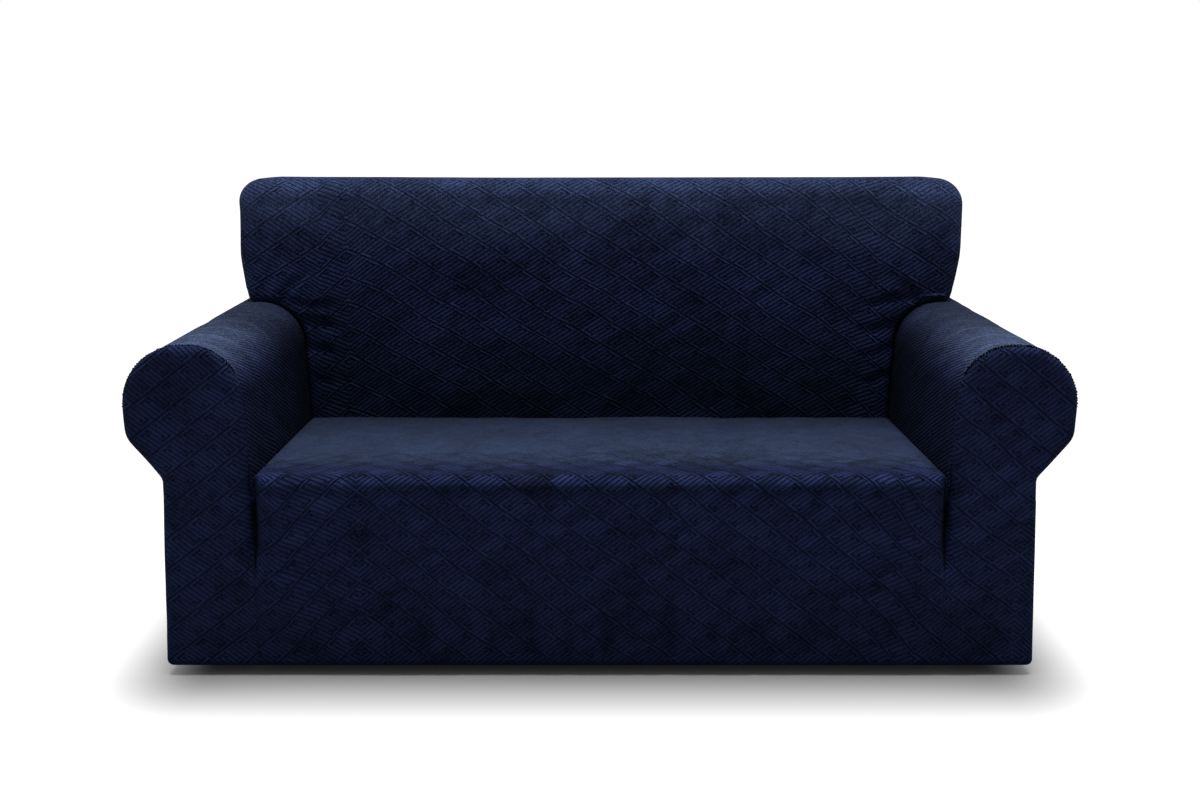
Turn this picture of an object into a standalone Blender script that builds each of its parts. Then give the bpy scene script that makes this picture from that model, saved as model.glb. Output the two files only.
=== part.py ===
"""Stretch slipcover for a two-seat sofa with rolled arms, as it sits on the sofa, which is left out.

The cover is five panels of thin cloth. Each is an open surface of patches, thickened inwards by Solidify.
+X points right as seen from the front, +Y runs from the front to the back and +Z is up. The origin is on
the hem's plane, at the middle of the cover's width and depth. Sizes are in metres.
"""

import math

import bmesh
import bpy
import numpy as np
from mathutils import Vector

# Cloth and seams
CLOTH = 0.002
SEAM_GAP = 0.0003
ROUNDING = 0.014  # how far an edge of the sofa rounds a panel over towards its seam
STRAIGHT_SHARE = 0.2  # share of the rounding that runs straight into the seam
CREASE_SLACK = 0.0004

# The whole cover, with the front at y = 0 until it is centred
DEPTH = 0.84
HEIGHT = 0.885
FRONT_SEAM = ROUNDING
REAR_SEAM = DEPTH - ROUNDING

# Seat
SEAT_EDGE = 0.6493  # half-width of the seat between the arms
SEAT_REAR = 0.560
SEAT_FRONT_TOP = 0.377
SEAT_REAR_TOP = 0.365
TUCK_DEPTH = 0.335  # height down to which the cloth is pushed into the creases
SEAT_ROUNDING = 0.024
SEAT_REAR_ROUNDING = 0.018
SEAT_CROWN = 0.008
SPLIT = 0.325  # height at which seat and arm fronts part
DART_END = 0.180  # height at which the crease beside the arm front fades out

# Back
BACK_FOOT = 0.5625  # y of the inside back at the seat
BACK_LEAN = 0.07
BACK_HALF_WIDTH = 0.808
BACK_ROUNDING = 0.050
BACK_CORNER = 0.054
BACK_CROWN = 0.012
NECK = 0.778  # half-width where the back is drawn in above the arms

# Hem, drawn in under the sofa's edge by its elastic
HEM_ROLL = 0.014
HEM_TURN = math.radians(70)

# Section of the right arm, from its crease with the seat over the roll to the hem
ARM_FOOT = 0.349  # just under the edge of the seat's cloth
ARM_SECTION = (
    # x, z, radius of the corner
    (0.651, ARM_FOOT, 0.0),
    (0.654, 0.440, 0.100),
    (0.664, 0.6205, 0.098),
    (0.8790, 0.6205, 0.112),
    (0.8790, 0.448, 0.045),
    (0.8145, 0.369, 0.018),
    (0.8295, 0.0, 0.0),
)
ARM_TOP = 0.6205

# Soft upright troughs in the skirt
RIPPLES = (
    # x, half-width, depth, height at which it fades
    (-0.455, 0.050, 0.0030, 0.15),
    (-0.335, 0.042, 0.0045, 0.19),
    (-0.225, 0.040, 0.0040, 0.14),
    (-0.110, 0.048, 0.0050, 0.20),
    (0.005, 0.044, 0.0040, 0.17),
    (0.120, 0.040, 0.0050, 0.21),
    (0.235, 0.046, 0.0035, 0.15),
    (0.350, 0.042, 0.0040, 0.18),
    (0.475, 0.050, 0.0030, 0.13),
)

# Edge of the inside back, 1.5 mm clear of the arm that it is fitted over
BACK_EDGE = (
    # x, z, radius of the corner
    (0.0, HEIGHT, 0.0),
    (BACK_HALF_WIDTH, HEIGHT, BACK_CORNER),
    (0.8050, 0.708, 0.220),
    (NECK, 0.6190, 0.012),
    (0.756, 0.6222, 0.020),
    (0.6625, 0.6222, 0.0965),
    (0.6525, 0.440, 0.100),
    (SEAT_EDGE, TUCK_DEPTH, 0.0),
)
CREASE_TUCK = 0.012

# Outline of the outside back, over the ends of the arms
REAR_EDGE = (
    # x, z, radius of the corner
    (0.0, HEIGHT, 0.0),
    (BACK_HALF_WIDTH, HEIGHT, BACK_CORNER),
    (0.8050, 0.708, 0.220),
    (NECK, 0.6177, 0.010),
    (0.8790, 0.5978, 0.100),
    *ARM_SECTION[4:6],
    (0.8295, 0.0, 0.0),
)
ARM_LAP = 0.016  # how far the arm's cloth runs in under the side of the back
ARM_NOTCH = 0.620  # y at which the inner part of the arm's cloth ends, behind the crease

# How finely each panel is faceted
TURN_STEPS = 3
SEAT_STEPS = 18
SKIRT_ROWS = 5
ARM_FRONT_STEPS = 4
ARM_FRONT_ROWS = 12
ARM_STEPS = 6
ARM_REAR_STEPS = 2
BACK_TURN_STEPS = 4
WALL_STEPS = 2
CLOTH_COLOUR = (0.012, 0.020, 0.055, 1.0)
BACK_COLOUR = (0.011, 0.018, 0.048, 1.0)


def rounded(corners, turn=math.radians(12)):
    """A run of straight lines through the corners (x, z, radius), each corner replaced by its arc."""
    places = [np.array(corner[:2], float) for corner in corners]
    points = [places[0]]
    for before, here, after, (_, _, radius) in zip(places, places[1:], places[2:], corners[1:]):
        back = (before - here) / np.linalg.norm(before - here)
        on = (after - here) / np.linalg.norm(after - here)
        half = math.acos(float(back @ on)) / 2
        centre = here + (back + on) / np.linalg.norm(back + on) * radius / math.sin(half)
        start = here + back * radius / math.tan(half) - centre
        sweep = math.pi - 2 * half
        side = math.copysign(1.0, on[0] * back[1] - on[1] * back[0])
        count = max(2, math.ceil(sweep / turn))
        for angle in np.linspace(0.0, side * sweep, count + 1):
            cos, sin = math.cos(angle), math.sin(angle)
            points.append(centre + (start[0] * cos - start[1] * sin, start[0] * sin + start[1] * cos))
    points.append(places[-1])
    return np.array(points)


def evenly(points, count):
    """This many even steps along the run, from its first point to its last one."""
    along = lengths(points)
    places = np.linspace(0.0, along[-1], count + 1)
    return np.column_stack([np.interp(places, along, points[:, 0]), np.interp(places, along, points[:, 1])])


def lengths(points):
    """Distance along a run of points, from its first one."""
    return np.concatenate([[0.0], np.cumsum(np.linalg.norm(np.diff(points, axis=0), axis=1))])


def spaced(points, longest):
    """The same run with points added on its straight stretches, so that no step is longer than this."""
    run = [points[:1]]
    for start, end in zip(points, points[1:]):
        count = max(1, math.ceil(np.linalg.norm(end - start) / longest))
        run.append(start + (end - start) * np.arange(1, count + 1)[:, None] / count)
    return np.concatenate(run)


def normals(points):
    """Unit normals, to the left of the way along the run."""
    ways = np.gradient(points, axis=0)
    ways /= np.linalg.norm(ways, axis=1)[:, None]
    return np.column_stack([-ways[:, 1], ways[:, 0]])


def hem_inset(height):
    """How far the cloth is drawn in at this height above the hem."""
    full = HEM_ROLL * math.sin(HEM_TURN)
    turn = np.arcsin(np.clip((full - np.asarray(height)) / HEM_ROLL, 0.0, 1.0))
    return HEM_ROLL * (1 - np.cos(turn))


def hem_heights():
    """Heights of the rows of faces in the drawn-in stretch of the hem."""
    return HEM_ROLL * (math.sin(HEM_TURN) - np.sin(np.linspace(HEM_TURN, 0.0, TURN_STEPS)))


def fade(value, low, high):
    """0 up to low, 1 from high on, and a smooth step between them."""
    share = np.clip((np.asarray(value) - low) / (high - low), 0.0, 1.0)
    return share * share * (3 - 2 * share)


def filled(bottom, top, left, right):
    """Coons patch between four edges of points: rows run from the bottom edge to the top one.

    Inside, the rows are spread evenly in height, because an edge may run level for a while.
    """
    across = np.linspace(0.0, 1.0, len(bottom))[None, :, None]
    up = np.linspace(0.0, 1.0, len(left))[:, None, None]
    ruled = (1 - up) * bottom[None] + up * top[None] + (1 - across) * left[:, None] + across * right[:, None]
    low = (1 - across) * bottom[0] + across * bottom[-1]
    high = (1 - across) * top[0] + across * top[-1]
    patch = ruled - (1 - up) * low - up * high
    even = left[0, 1] + up[..., 0] * (left[-1, 1] - left[0, 1])
    patch[..., 1] += (1 - (2 * across[..., 0] - 1) ** 2) * (even - left[:, 1:])
    return patch


class Panel:
    """Patches of one cloth, welded where their edges meet."""

    def __init__(self, name):
        self.name = name
        self.mesh = bmesh.new()

    def patch(self, points):
        """Adds a grid of points, rows by columns."""
        rows = [[self.mesh.verts.new(point) for point in row] for row in points]
        for below, above in zip(rows, rows[1:]):
            for corners in zip(below, below[1:], above[1:], above):
                self.mesh.faces.new(corners)

    def finish(self, material, inside):
        """Welds the patches, turns their faces away from the point inside and thickens the cloth."""
        bmesh.ops.remove_doubles(self.mesh, verts=self.mesh.verts, dist=0.00002)
        bmesh.ops.recalc_face_normals(self.mesh, faces=self.mesh.faces)
        outward = sum(
            face.calc_area() * face.normal.dot(face.calc_center_median() - inside)
            for face in self.mesh.faces
        )
        if outward < 0:
            bmesh.ops.reverse_faces(self.mesh, faces=self.mesh.faces)
        bmesh.ops.translate(self.mesh, verts=self.mesh.verts, vec=(0.0, -DEPTH / 2, 0.0))
        data = bpy.data.meshes.new(self.name)
        self.mesh.to_mesh(data)
        self.mesh.free()
        data.shade_smooth()
        data.materials.append(material)
        panel = bpy.data.objects.new(self.name, data)
        thickness = panel.modifiers.new("cloth", "SOLIDIFY")
        thickness.thickness = CLOTH
        thickness.offset = -1.0
        return panel


def cloth_material(name, colour):
    material = bpy.data.materials.new(name)
    material.use_nodes = True
    shader = material.node_tree.nodes["Principled BSDF"]
    shader.inputs["Base Color"].default_value = colour
    shader.inputs["Roughness"].default_value = 0.85
    shader.inputs["Sheen Weight"].default_value = 0.4
    return material


def leg_edge(height):
    """Half-width of the cover at a height below the roll of the arms."""
    (top_x, top_z, _), (hem_x, hem_z, _) = ARM_SECTION[-2:]
    return hem_x + (top_x - hem_x) * (np.asarray(height) - hem_z) / (top_z - hem_z)


def ripple(x, z):
    """How far the skirt lies behind its plane."""
    depth = 0.0
    for middle, half_width, deep, top in RIPPLES:
        depth += deep * np.exp(-(((x - middle) / half_width) ** 2)) * (1 - fade(z, 0.02, top))
    return depth


def turn_shares(steps=TURN_STEPS):
    """A quarter turn that ends in a short straight: shares of the rounding outwards and backwards."""
    angles = np.linspace(0.0, math.pi / 2, steps + 1)
    return np.append(np.sin(angles), 1.0), np.append((1 - np.cos(angles)) * (1 - STRAIGHT_SHARE), 1.0)


def turned(edge, outward, radius, seam, steps=TURN_STEPS):
    """Rows that turn from a panel's flat, through a quarter circle outwards, back to the seam's plane.

    The rows run along the edge of the flat. The panel faces -Y where the seam lies behind it.
    """
    radius = np.broadcast_to(radius, len(edge))
    rows = []
    for out, deep in zip(*turn_shares(steps)):
        plan = edge + outward * (radius * out)[:, None]
        rows.append(np.column_stack([plan[:, 0], seam - radius * (1 - deep), plan[:, 1]]))
    return np.array(rows)


def front_row(height):
    """One row of the skirt, from its left seam to its right one, with the creases beside the arm fronts."""
    inset = float(hem_inset(height))
    out, deep = turn_shares()
    crease = float(fade(height, DART_END, SPLIT))
    crease_x = (SEAT_EDGE + ARM_SECTION[0][0]) / 2
    from_crease = ROUNDING * (1 - out) + CREASE_SLACK * (out < 1) + CREASE_SLACK * (deep < 1)
    flat_edge = float(leg_edge(height)) - ROUNDING
    seat_x = np.linspace(0.0, crease_x - from_crease[0], SEAT_STEPS // 2 + 1)
    seat_side = np.column_stack([crease_x - from_crease, inset + ROUNDING * deep * crease])
    arm_side = np.column_stack([crease_x + from_crease, seat_side[:, 1]])[::-1]
    arm_x = np.linspace(crease_x + from_crease[0], flat_edge, ARM_FRONT_STEPS + 1)
    outer = np.column_stack([
        flat_edge + (ROUNDING - inset) * out,
        ROUNDING - (ROUNDING - inset) * (1 - deep),
    ])
    half = np.concatenate([
        np.column_stack([seat_x[:-1], np.full(len(seat_x) - 1, inset)]),
        seat_side[:-1],
        arm_side[:-1],
        np.column_stack([arm_x[:-1], np.full(len(arm_x) - 1, inset)]),
        outer,
    ])
    row = np.concatenate([half[:0:-1] * (-1, 1), half])
    row[:, 1] += ripple(row[:, 0], height)
    return np.column_stack([row, np.full(len(row), height)])


def seat_rows(first):
    """The seat: up from the skirt, over the rounded front edge, back across the deck and into the crease."""
    profile = spaced(
        rounded((
            (0.0, SPLIT, 0.0),
            (0.0, SEAT_FRONT_TOP, SEAT_ROUNDING),
            (SEAT_REAR, SEAT_REAR_TOP, SEAT_REAR_ROUNDING),
            (SEAT_REAR, TUCK_DEPTH, 0.0),
        ), turn=math.radians(25)),
        0.130,
    )
    up = normals(profile)
    width = first[:, 0] * SEAT_EDGE / first[-1, 0]
    rows = [first]
    for (y, z), (normal_y, normal_z) in zip(profile[1:], up[1:]):
        drop = first[:, 1]
        crown = SEAT_CROWN * (1 - (width / SEAT_EDGE) ** 2) * fade(y, 0.0, 0.2) * (1 - fade(y, 0.4, 0.58))
        rows.append(np.column_stack([width, y - normal_y * drop, z - normal_z * drop + crown]))
    return np.array(rows)


def arm_front(panel, first, side):
    """The front of one arm's roll, turned over to its seam all round."""
    inner, outer = (ARM_SECTION[0][0], SPLIT, 0.0), (float(leg_edge(SPLIT)), SPLIT, 0.0)
    section = evenly(rounded((inner, *ARM_SECTION[1:-1], outer)), 2 * ARM_FRONT_ROWS + ARM_FRONT_STEPS)
    outward = normals(section)
    flat = section - outward * ROUNDING
    bottom = first[TURN_STEPS + 1 : -TURN_STEPS - 1, [0, 2]] * (side, 1)
    flat[[0, -1]] = bottom[[0, -1]]
    middle = filled(
        bottom,
        flat[ARM_FRONT_ROWS : ARM_FRONT_ROWS + ARM_FRONT_STEPS + 1],
        flat[: ARM_FRONT_ROWS + 1],
        flat[: -ARM_FRONT_ROWS - 2 : -1],
    )
    panel.patch([[(side * x, 0.0, z) for x, z in row] for row in middle])
    rim = turned(flat, outward, ROUNDING, FRONT_SEAM)
    rim[:, 0] = first[TURN_STEPS + 1 :: -1] * (side, 1, 1)
    rim[:, -1] = first[-2 - TURN_STEPS :] * (side, 1, 1)
    panel.patch(rim * (side, 1, 1))


def front_panel():
    """Skirt, arm fronts and seat in one cloth."""
    panel = Panel("front_and_seat")
    heights = np.concatenate([hem_heights(), np.linspace(HEM_ROLL, SPLIT, SKIRT_ROWS)])
    skirt = np.array([front_row(height) for height in heights])
    panel.patch(skirt)
    top = skirt[-1]
    middle = len(top) // 2
    crease = SEAT_STEPS // 2 + TURN_STEPS + 1
    panel.patch(seat_rows(top[middle - crease : middle + crease + 1]))
    arm_front(panel, top[middle + crease :], 1)
    arm_front(panel, top[middle - crease :: -1], -1)
    return panel


def arm_panel(name, side):
    """One arm's cloth, from its crease with the seat over the roll and down to the hem.

    Past the inside back it covers only the outer part of the roll and the side below it.
    """
    panel = Panel(name)
    section = spaced(rounded(ARM_SECTION), 0.06)[:-1]
    hem = hem_heights()[::-1]
    section = np.concatenate([section, np.column_stack([leg_edge(hem) - hem_inset(hem), hem])])
    roll = int(np.argmax(section[:, 0] > NECK - ARM_LAP))
    start, end = FRONT_SEAM + SEAM_GAP, REAR_SEAM - SEAM_GAP
    for low, high, steps, part in (
        (start, ARM_NOTCH, ARM_STEPS, section),
        (ARM_NOTCH, end, ARM_REAR_STEPS, section[roll:]),
    ):
        panel.patch([[(side * x, y, z) for x, z in part] for y in np.linspace(low, high, steps + 1)])
    return panel


def outline(corners):
    """A panel's edge, up its left side, over the top and down the right, and how many steps its sides have.

    The corners run from the top middle round the top right corner and down. A side starts halfway round
    the top corner.
    """
    half = spaced(rounded(corners, turn=math.radians(15)), 0.11)
    past_centre = np.abs((half[:, 0] - BACK_HALF_WIDTH) - (half[:, 1] - HEIGHT))
    side_steps = len(half) - 1 - int(np.argmin(past_centre[: len(half) // 2]))
    return np.concatenate([half[:0:-1] * (-1, 1), half]), side_steps


def face(edge, side_steps):
    """The flat of a panel inside its edge."""
    top = edge[side_steps : len(edge) - side_steps]
    return filled(
        np.linspace(edge[0], edge[-1], len(top)), top, edge[: side_steps + 1], edge[: -side_steps - 2 : -1]
    )


def inside_back_y(x, z):
    """The inside back leans, and its cushion swells a little towards the sitter."""
    rise = (z - TUCK_DEPTH) / (HEIGHT - TUCK_DEPTH)
    swell = BACK_CROWN * np.sin(math.pi * np.clip(rise, 0, 1)) * (1 - (x / BACK_HALF_WIDTH) ** 2)
    return BACK_FOOT + BACK_LEAN * (z - TUCK_DEPTH) - swell


def inside_back():
    """Inside back with its top and sides, fitted over the arms and pushed into the crease behind the seat."""
    panel = Panel("inside_back")
    edge, side_steps = outline(BACK_EDGE)
    outward = normals(edge)
    radius = ROUNDING + (BACK_ROUNDING - ROUNDING) * fade(edge[:, 1], ARM_TOP + 0.01, BACK_EDGE[2][1])
    flat = edge - outward * radius[:, None]
    flat[[0, -1], 1] = TUCK_DEPTH
    middle = face(flat, side_steps)
    panel.patch([[(x, inside_back_y(x, z), z) for x, z in row] for row in middle])
    turn_end = inside_back_y(flat[:, 0], flat[:, 1]) + radius
    rim = turned(flat, outward, radius, turn_end, BACK_TURN_STEPS)
    panel.patch(rim)
    tucked = rim[-1] + (0.0, CREASE_TUCK, 0.0)
    panel.patch([rim[-1], tucked])
    above = (np.abs(tucked[:, 0]) > NECK - ARM_LAP / 2) | (tucked[:, 2] > ARM_TOP + ARM_LAP)
    wall = tucked[above]
    share = np.linspace(0.0, 1.0, WALL_STEPS + 1)[:, None, None]
    rear = wall * (1, 0, 1) + (0.0, REAR_SEAM - SEAM_GAP, 0.0)
    panel.patch((1 - share) * wall + share * rear)
    return panel


def outside_back():
    """Outside back, from the hem over the ends of the arms to the top, turned over to its seam all round."""
    panel = Panel("outside_back")
    edge, side_steps = outline(REAR_EDGE)
    outward = normals(edge)
    hem = hem_heights()
    flat = edge - outward * ROUNDING
    flat[[0, -1], 1] = HEM_ROLL * math.sin(HEM_TURN)
    middle = face(flat, side_steps)
    panel.patch([[(x, DEPTH, z) for x, z in row] for row in middle])
    rim = turned(flat, outward, ROUNDING, FRONT_SEAM)
    rim[:, :, 1] = DEPTH - rim[:, :, 1]
    panel.patch(rim)
    across = np.concatenate([rim[::-1, 0], [(x, DEPTH, z) for x, z in middle[0][1:-1]], rim[:, -1]])
    drawn = []
    for height in np.append(hem, flat[0, 1]):
        inset = float(hem_inset(height))
        row = across.copy()
        row[:, 1] = REAR_SEAM + (across[:, 1] - REAR_SEAM) * (ROUNDING - inset) / ROUNDING
        row[:, 0] -= np.sign(row[:, 0]) * inset * (1 - (across[:, 1] - REAR_SEAM) / ROUNDING)
        row[:, 2] = height
        drawn.append(row)
    drawn[-1] = across
    panel.patch(drawn)
    return panel


def main():
    for thing in list(bpy.data.objects):
        bpy.data.objects.remove(thing)
    collection = bpy.data.collections.new("sofa_slipcover")
    bpy.context.scene.collection.children.link(collection)
    front = cloth_material("front_cloth", CLOTH_COLOUR)
    back = cloth_material("back_cloth", BACK_COLOUR)
    arm_middle = (ARM_SECTION[2][0] + ARM_SECTION[3][0]) / 2
    for panel, material, inside in (
        (front_panel(), front, (0.0, 0.4, -0.6)),
        (arm_panel("arm_left", -1), front, (-arm_middle, 0.3, 0.3)),
        (arm_panel("arm_right", 1), front, (arm_middle, 0.3, 0.3)),
        (inside_back(), back, (0.0, 0.8, 0.5)),
        (outside_back(), back, (0.0, 0.3, 0.5)),
    ):
        collection.objects.link(panel.finish(material, Vector(inside)))


main()
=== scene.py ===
# %% [markdown]
# # Stretch slipcover for a two-seat sofa
# The real cover is knitted stretch cloth, cut as five panels and pulled over a sofa with rolled arms.
# This file builds the five panels as thin sheets of cloth on the shapes that the CAD model gives, adds
# their creases, gathers and woven relief, and lights them in a plain studio.

# %% Load the frame
import math

import bmesh
import bpy
import numpy as np
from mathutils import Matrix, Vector


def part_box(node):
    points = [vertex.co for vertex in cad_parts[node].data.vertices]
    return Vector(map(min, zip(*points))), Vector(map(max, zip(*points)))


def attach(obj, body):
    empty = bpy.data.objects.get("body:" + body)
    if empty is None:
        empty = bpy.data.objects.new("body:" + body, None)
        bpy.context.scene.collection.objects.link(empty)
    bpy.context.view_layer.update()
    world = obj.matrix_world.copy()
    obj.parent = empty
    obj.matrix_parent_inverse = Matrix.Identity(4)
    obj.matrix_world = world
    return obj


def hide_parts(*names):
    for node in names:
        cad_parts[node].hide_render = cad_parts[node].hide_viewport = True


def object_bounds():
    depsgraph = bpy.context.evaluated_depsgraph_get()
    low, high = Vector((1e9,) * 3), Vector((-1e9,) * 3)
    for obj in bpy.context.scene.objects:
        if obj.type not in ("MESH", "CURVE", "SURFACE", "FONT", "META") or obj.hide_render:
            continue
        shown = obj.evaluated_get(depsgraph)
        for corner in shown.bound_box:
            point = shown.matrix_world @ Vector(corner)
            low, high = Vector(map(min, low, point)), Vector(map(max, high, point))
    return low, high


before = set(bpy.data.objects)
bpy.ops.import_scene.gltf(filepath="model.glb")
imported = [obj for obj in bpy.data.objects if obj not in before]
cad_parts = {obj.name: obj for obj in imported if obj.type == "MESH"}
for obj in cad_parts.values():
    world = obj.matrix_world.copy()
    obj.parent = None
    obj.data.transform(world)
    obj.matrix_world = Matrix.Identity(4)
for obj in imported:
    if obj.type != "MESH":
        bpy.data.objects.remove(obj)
cad_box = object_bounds()
(_, FRONT, HEM), (_, REAR, TOP) = cad_box
print("cover:", [round(high - low, 3) for low, high in zip(*cad_box)])


def in_scene(name, data):
    """A new object in the scene that shows this data."""
    made = bpy.data.objects.new(name, data)
    bpy.context.scene.collection.objects.link(made)
    return made


# %% [markdown]
# ## Camera
# The camera stands well back and a little above the sofa, as a person would who looks it over. It comes
# first, because every other choice is judged through it. It looks slightly down and has no shift and no
# depth of field.

# %% Camera
LENS = 42.0
EYE_HEIGHT = 1.060
EYE_DISTANCE = 2.51  # in front of the arm fronts
LOOK_DOWN = math.radians(12.1)

camera = in_scene("camera", bpy.data.cameras.new("camera"))
camera.data.lens = LENS
camera.data.sensor_width = 36.0
camera.location = (0.0, FRONT - EYE_DISTANCE, HEM + EYE_HEIGHT)
camera.rotation_euler = (math.pi / 2 - LOOK_DOWN, 0.0, 0.0)
bpy.context.scene.camera = camera
print("camera at", [round(value, 3) for value in camera.location])

# %% [markdown]
# ## Sizes
# The panels meet the same seams as in the CAD model, so their sizes come from its box, and the few that
# a box can't give, such as the radius of a corner, are named here. All are in metres.

# %% Sizes of the cover
arm_low, arm_high = (np.array(corner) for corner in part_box("arm_right"))
_, front_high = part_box("front_and_seat")
back_low, back_high = (np.array(corner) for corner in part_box("inside_back"))

CLOTH = 0.002
SEAM_GAP = 0.0003
ROUNDING = 0.014  # how far an edge of the sofa rounds a panel over towards its seam
STRAIGHT_SHARE = 0.2
CREASE_SLACK = 0.0004
HEM_ROLL = 0.014
HEM_TURN = math.radians(70)

ARM_IN, ARM_OUT, ARM_TOP = arm_low[0], arm_high[0], arm_high[2]
SEAT_EDGE = ARM_IN - 0.0017
SEAT_REAR = front_high[1]
SEAT_FRONT_TOP = 0.377
SEAT_REAR_TOP = 0.365
SEAT_ROUNDING = 0.024
SEAT_REAR_ROUNDING = 0.018
SEAT_CROWN = 0.008
TUCK_DEPTH = back_low[2]
SPLIT = TUCK_DEPTH - 0.010
DART_END = 0.180

BACK_FOOT = SEAT_REAR + 0.0025
BACK_LEAN = 0.07
BACK_HALF_WIDTH = back_high[0]
BACK_ROUNDING = 0.050
BACK_CORNER = 0.054
BACK_CROWN = 0.012
NECK = 0.778
HEM_OUT = 0.8295
LEG_TOP = (0.8145, 0.369)

ARM_FOOT = 0.349  # just under the edge of the seat's cloth
ARM_SECTION = (
    # x, z, radius of the corner
    (ARM_IN, ARM_FOOT, 0.0),
    (ARM_IN + 0.003, 0.440, 0.100),
    (ARM_IN + 0.013, ARM_TOP, 0.098),
    (ARM_OUT, ARM_TOP, 0.112),
    (ARM_OUT, 0.448, 0.045),
    (*LEG_TOP, 0.018),
    (HEM_OUT, 0.0, 0.0),
)
UPPER_EDGE = (0.0, TOP, 0.0), (BACK_HALF_WIDTH, TOP, BACK_CORNER), (0.8050, 0.708, 0.220)
BACK_EDGE = (
    *UPPER_EDGE,
    (NECK, 0.6190, 0.012),
    (0.756, 0.6222, 0.020),
    (0.6625, 0.6222, 0.0965),
    (0.6525, 0.440, 0.100),
    (SEAT_EDGE, TUCK_DEPTH, 0.0),
)
REAR_EDGE = (
    *UPPER_EDGE,
    (NECK, 0.6177, 0.010),
    (ARM_OUT, 0.5978, 0.100),
    *ARM_SECTION[4:6],
    (HEM_OUT, 0.0, 0.0),
)
ARM_LAP = 0.016
ARM_NOTCH = FRONT + 0.620
CREASE_TUCK = 0.012
WEAVE_STEP = 0.0066  # side of one face of the cloth
print("roll of the arm from", round(ARM_IN, 4), "to", round(ARM_OUT, 4), "and up to", round(ARM_TOP, 4))
print("back half-width", round(BACK_HALF_WIDTH, 4), "seat ends at", round(SEAT_REAR, 4))

# %% [markdown]
# ## Curves in section
# A maker drafts a panel from straight runs and rounded corners. These helpers turn a short table of
# corners into points, spread them evenly, and give the direction that faces away from the sofa.

# %% Helpers for outlines
def rounded(corners, turn=math.radians(6)):
    """A run of straight lines through the corners (x, z, radius), each corner replaced by its arc."""
    places = [np.array(corner[:2], float) for corner in corners]
    points = [places[0]]
    for before, here, after, (_, _, radius) in zip(places, places[1:], places[2:], corners[1:]):
        back = (before - here) / np.linalg.norm(before - here)
        on = (after - here) / np.linalg.norm(after - here)
        half = math.acos(float(back @ on)) / 2
        centre = here + (back + on) / np.linalg.norm(back + on) * radius / math.sin(half)
        start = here + back * radius / math.tan(half) - centre
        sweep = math.pi - 2 * half
        side = math.copysign(1.0, on[0] * back[1] - on[1] * back[0])
        count = max(2, math.ceil(sweep / turn))
        for angle in np.linspace(0.0, side * sweep, count + 1):
            cos, sin = math.cos(angle), math.sin(angle)
            points.append(centre + (start[0] * cos - start[1] * sin, start[0] * sin + start[1] * cos))
    points.append(places[-1])
    return np.array(points)


def lengths(points):
    """Distance along a run of points, from its first one."""
    return np.concatenate([[0.0], np.cumsum(np.linalg.norm(np.diff(points, axis=0), axis=1))])


def at(points, places):
    """Points at these distances along the run."""
    along = lengths(points)
    return np.column_stack([np.interp(places, along, points[:, axis]) for axis in range(2)])


def evenly(points, step):
    """Even steps of about this length, from the run's first point to its last one."""
    end = lengths(points)[-1]
    return at(points, np.linspace(0.0, end, max(2, round(end / step)) + 1))


def normals(points):
    """Unit normals, to the left of the way along the run."""
    ways = np.gradient(points, axis=0)
    ways /= np.linalg.norm(ways, axis=1)[:, None]
    return np.column_stack([-ways[:, 1], ways[:, 0]])


def fade(value, low, high):
    """0 up to low, 1 from high on, and a smooth step between them."""
    share = np.clip((np.asarray(value, float) - low) / (high - low), 0.0, 1.0)
    return share * share * (3 - 2 * share)


def in_room(places, y):
    """Points (x, y, z) from places (x, z) and how far back they lie."""
    return np.stack(np.broadcast_arrays(places[..., 0], y, places[..., 1]), axis=-1)


def hem_inset(height):
    """How far the hem turns the cloth in at this height above the lowest edge."""
    full = HEM_ROLL * math.sin(HEM_TURN)
    turn = np.arcsin(np.clip((full - np.asarray(height)) / HEM_ROLL, 0.0, 1.0))
    return HEM_ROLL * (1 - np.cos(turn))


def leg_edge(height):
    """Half-width of the cover at a height below the roll of the arms."""
    return HEM_OUT + (LEG_TOP[0] - HEM_OUT) * np.asarray(height) / LEG_TOP[1]


TURN_STEPS = 6
HEM_HEIGHTS = HEM_ROLL * (math.sin(HEM_TURN) - np.sin(np.linspace(HEM_TURN, 0.0, TURN_STEPS)))
print("section of an arm is", round(lengths(rounded(ARM_SECTION))[-1], 3), "m round")

# %% [markdown]
# ## Patches of cloth
# A panel is made of patches: grids of points that share their edges. Each point also keeps its place on
# the flat cloth, in metres, so that the woven pattern later follows the cloth and not the room. Patches
# are welded where they meet, turned to face outwards, and thickened inwards.

# %% Helpers for panels
def filled(bottom, top, left, right):
    """Coons patch between four edges of points, its rows spread evenly in height inside."""
    across = np.linspace(0.0, 1.0, len(bottom))[None, :, None]
    up = np.linspace(0.0, 1.0, len(left))[:, None, None]
    ruled = (1 - up) * bottom[None] + up * top[None] + (1 - across) * left[:, None] + across * right[:, None]
    low = (1 - across) * bottom[0] + across * bottom[-1]
    high = (1 - across) * top[0] + across * top[-1]
    patch = ruled - (1 - up) * low - up * high
    even = left[0, 1] + up[..., 0] * (left[-1, 1] - left[0, 1])
    patch[..., 1] += (1 - (2 * across[..., 0] - 1) ** 2) * (even - left[:, 1:])
    return patch


def turn_shares(steps=TURN_STEPS):
    """A quarter turn that ends in a short straight: shares of the rounding outwards and backwards."""
    angles = np.linspace(0.0, math.pi / 2, steps + 1)
    return np.append(np.sin(angles), 1.0), np.append((1 - np.cos(angles)) * (1 - STRAIGHT_SHARE), 1.0)


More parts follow.
